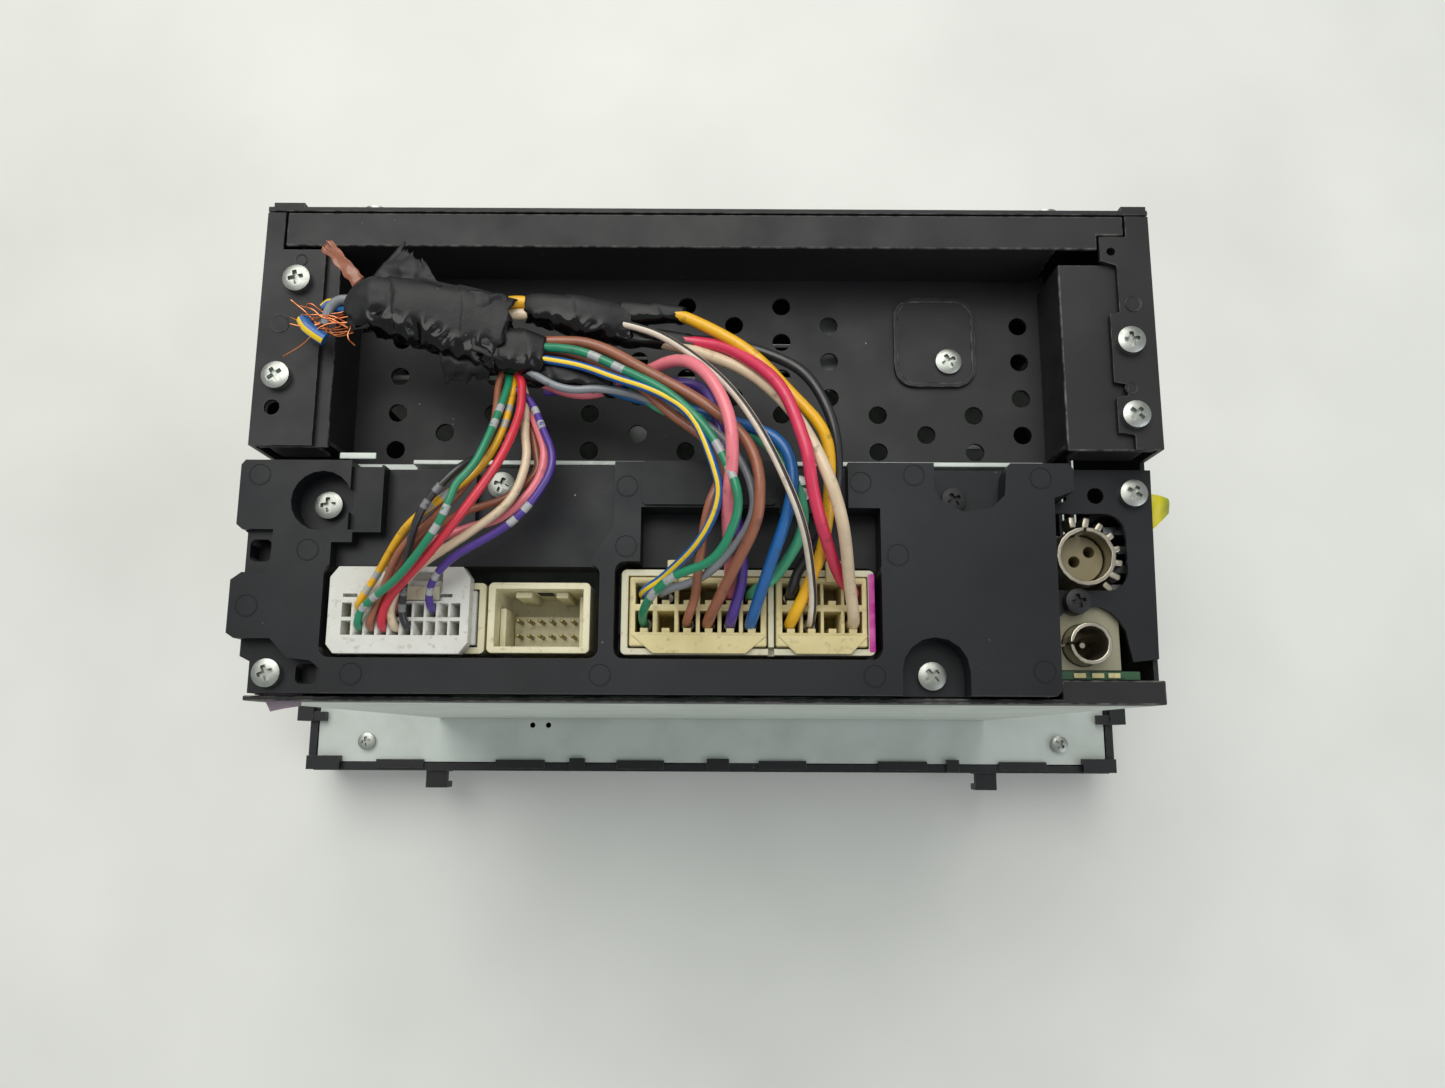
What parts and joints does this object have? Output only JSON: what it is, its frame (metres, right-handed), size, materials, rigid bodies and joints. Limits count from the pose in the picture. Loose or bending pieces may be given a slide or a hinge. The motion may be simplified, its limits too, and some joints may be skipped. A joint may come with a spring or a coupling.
{
  "type": "car radio",
  "caption": "Double-width dashboard radio with a disc player, push and turn knobs, keys, a perforated rear recess and a cut-off wiring harness in its rear sockets.",
  "frame": {"origin": "centre of the whole object's footprint, on the surface that the front panel's rim rests on, with the radio standing on its face", "axes": "+Z out of the rear panel, +Y to the radio's top side, +X to the right when looking at the rear with the top side up"},
  "size_m": [0.2712, 0.145, 0.1952],
  "materials": {
    "black_steel": "black coated sheet steel",
    "zinc_steel": "galvanised sheet steel",
    "tin_plate": "tinned steel",
    "black_plastic": "moulded black plastic",
    "face_plastic": "moulded black plastic",
    "key_plastic": "silver moulded plastic",
    "smoked_lens": "smoked polished plastic",
    "cream_nylon": "unfilled nylon",
    "white_nylon": "white nylon",
    "circuit_board": "solder mask",
    "rubber": "moulded rubber",
    "pvc_tape": "PVC insulating tape",
    "wire_pvc": "PVC insulation",
    "yellow_film": "yellow film",
    "aluminium": "plain aluminium"
  },
  "bodies": {
    "chassis": {"side_plate_left": "black_steel", "side_plate_right": "black_steel", "top_cover": "black_steel", "top_rail": "black_steel", "rear_bracket_left": "black_steel", "rear_bracket_right": "black_steel", "recess_plate": "black_steel", "bottom_lip": "black_steel", "bottom_cover": "zinc_steel", "front_plate": "zinc_steel", "lower_rear_wall": "zinc_steel", "disc_tray_frame": "zinc_steel", "antenna_socket_large": "tin_plate", "antenna_socket_small": "tin_plate", "tuner_can": "tin_plate", "rear_cover": "black_plastic", "antenna_plate": "black_plastic", "front_bezel": "face_plastic", "lcd_module": "key_plastic", "display_lens": "smoked_lens", "header_20way": "cream_nylon", "header_12way": "cream_nylon", "header_double": "cream_nylon", "plug_6column": "cream_nylon", "plug_4column": "cream_nylon", "antenna_insulator": "cream_nylon", "plug_20way": "white_nylon", "main_board": "circuit_board", "front_board": "circuit_board", "tape_trunk": "pvc_tape", "tape_branch": "pvc_tape", "wires_to_20way": "wire_pvc", "wires_to_6column": "wire_pvc", "wires_to_4column": "wire_pvc", "yellow_tab": "yellow_film", "heat_sink": "aluminium", "sled_rod": "aluminium", "volume_encoder": "aluminium", "tune_encoder": "aluminium"},
    "volume_push": {"volume_collar": "aluminium"},
    "volume_turn": {"volume_knob": "face_plastic"},
    "tune_push": {"tune_collar": "aluminium"},
    "tune_turn": {"tune_knob": "face_plastic"},
    "seek_rocker_body": {"seek_rocker": "key_plastic"},
    "slot_flap_body": {"slot_flap": "rubber"},
    "feed_roller_body": {"feed_roller": "rubber"},
    "turntable_body": {"turntable": "face_plastic"},
    "laser_sled_body": {"laser_sled": "face_plastic"},
    "preset_key_1_body": {"preset_key_1": "key_plastic"},
    "preset_key_2_body": {"preset_key_2": "key_plastic"},
    "preset_key_3_body": {"preset_key_3": "key_plastic"},
    "preset_key_4_body": {"preset_key_4": "key_plastic"},
    "preset_key_5_body": {"preset_key_5": "key_plastic"},
    "preset_key_6_body": {"preset_key_6": "key_plastic"},
    "am_key_body": {"am_key": "key_plastic"},
    "fm_key_body": {"fm_key": "key_plastic"},
    "aux_key_body": {"aux_key": "key_plastic"},
    "disc_key_body": {"disc_key": "key_plastic"},
    "load_key_body": {"load_key": "key_plastic"},
    "eject_key_body": {"eject_key": "key_plastic"}
  },
  "joints": [
    {"name": "volume_push", "type": "slide", "parent": "chassis", "child": "volume_push", "axis": [0, 0, 1], "range_m": [0, 0.0008], "stiffness_N_per_m": 900, "springref_m": -0.0015},
    {"name": "volume_turn", "type": "hinge", "parent": "volume_push", "child": "volume_turn", "pos_m": [0.098, -0.018, 0.004], "axis": [0, 0, -1], "continuous": true},
    {"name": "tune_push", "type": "slide", "parent": "chassis", "child": "tune_push", "axis": [0, 0, 1], "range_m": [0, 0.0008], "stiffness_N_per_m": 900, "springref_m": -0.0015},
    {"name": "tune_turn", "type": "hinge", "parent": "tune_push", "child": "tune_turn", "pos_m": [-0.098, -0.018, 0.004], "axis": [0, 0, -1], "continuous": true},
    {"name": "preset_key_1_press", "type": "slide", "parent": "chassis", "child": "preset_key_1_body", "axis": [0, 0, 1], "range_m": [0, 0.0008], "stiffness_N_per_m": 600, "springref_m": -0.001},
    {"name": "preset_key_2_press", "type": "slide", "parent": "chassis", "child": "preset_key_2_body", "axis": [0, 0, 1], "range_m": [0, 0.0008], "stiffness_N_per_m": 600, "springref_m": -0.001},
    {"name": "preset_key_3_press", "type": "slide", "parent": "chassis", "child": "preset_key_3_body", "axis": [0, 0, 1], "range_m": [0, 0.0008], "stiffness_N_per_m": 600, "springref_m": -0.001},
    {"name": "preset_key_4_press", "type": "slide", "parent": "chassis", "child": "preset_key_4_body", "axis": [0, 0, 1], "range_m": [0, 0.0008], "stiffness_N_per_m": 600, "springref_m": -0.001},
    {"name": "preset_key_5_press", "type": "slide", "parent": "chassis", "child": "preset_key_5_body", "axis": [0, 0, 1], "range_m": [0, 0.0008], "stiffness_N_per_m": 600, "springref_m": -0.001},
    {"name": "preset_key_6_press", "type": "slide", "parent": "chassis", "child": "preset_key_6_body", "axis": [0, 0, 1], "range_m": [0, 0.0008], "stiffness_N_per_m": 600, "springref_m": -0.001},
    {"name": "am_key_press", "type": "slide", "parent": "chassis", "child": "am_key_body", "axis": [0, 0, 1], "range_m": [0, 0.0008], "stiffness_N_per_m": 600, "springref_m": -0.001},
    {"name": "fm_key_press", "type": "slide", "parent": "chassis", "child": "fm_key_body", "axis": [0, 0, 1], "range_m": [0, 0.0008], "stiffness_N_per_m": 600, "springref_m": -0.001},
    {"name": "aux_key_press", "type": "slide", "parent": "chassis", "child": "aux_key_body", "axis": [0, 0, 1], "range_m": [0, 0.0008], "stiffness_N_per_m": 600, "springref_m": -0.001},
    {"name": "disc_key_press", "type": "slide", "parent": "chassis", "child": "disc_key_body", "axis": [0, 0, 1], "range_m": [0, 0.0008], "stiffness_N_per_m": 600, "springref_m": -0.001},
    {"name": "load_key_press", "type": "slide", "parent": "chassis", "child": "load_key_body", "axis": [0, 0, 1], "range_m": [0, 0.0008], "stiffness_N_per_m": 600, "springref_m": -0.001},
    {"name": "eject_key_press", "type": "slide", "parent": "chassis", "child": "eject_key_body", "axis": [0, 0, 1], "range_m": [0, 0.0008], "stiffness_N_per_m": 600, "springref_m": -0.001},
    {"name": "seek_rocker_tilt", "type": "hinge", "parent": "chassis", "child": "seek_rocker_body", "pos_m": [-0.039, -0.027, 0.01], "axis": [0, 1, 0], "range_deg": [-3, 3], "stiffness_Nm_per_rad": 0.4},
    {"name": "slot_flap_swing", "type": "hinge", "parent": "chassis", "child": "slot_flap_body", "pos_m": [0, 0.0402, 0.0113], "axis": [-1, 0, 0], "range_deg": [0, 65], "stiffness_Nm_per_rad": 0.003, "springref_deg": -17.19},
    {"name": "feed_roller_turn", "type": "hinge", "parent": "chassis", "child": "feed_roller_body", "pos_m": [0, 0.0305, 0.04], "axis": [1, 0, 0], "continuous": true},
    {"name": "turntable_spin", "type": "hinge", "parent": "chassis", "child": "turntable_body", "pos_m": [0, 0.03, 0.095], "axis": [0, 1, 0], "continuous": true},
    {"name": "laser_sled_travel", "type": "slide", "parent": "chassis", "child": "laser_sled_body", "axis": [1, 0, 0], "range_m": [0, 0.03]}
  ]
}
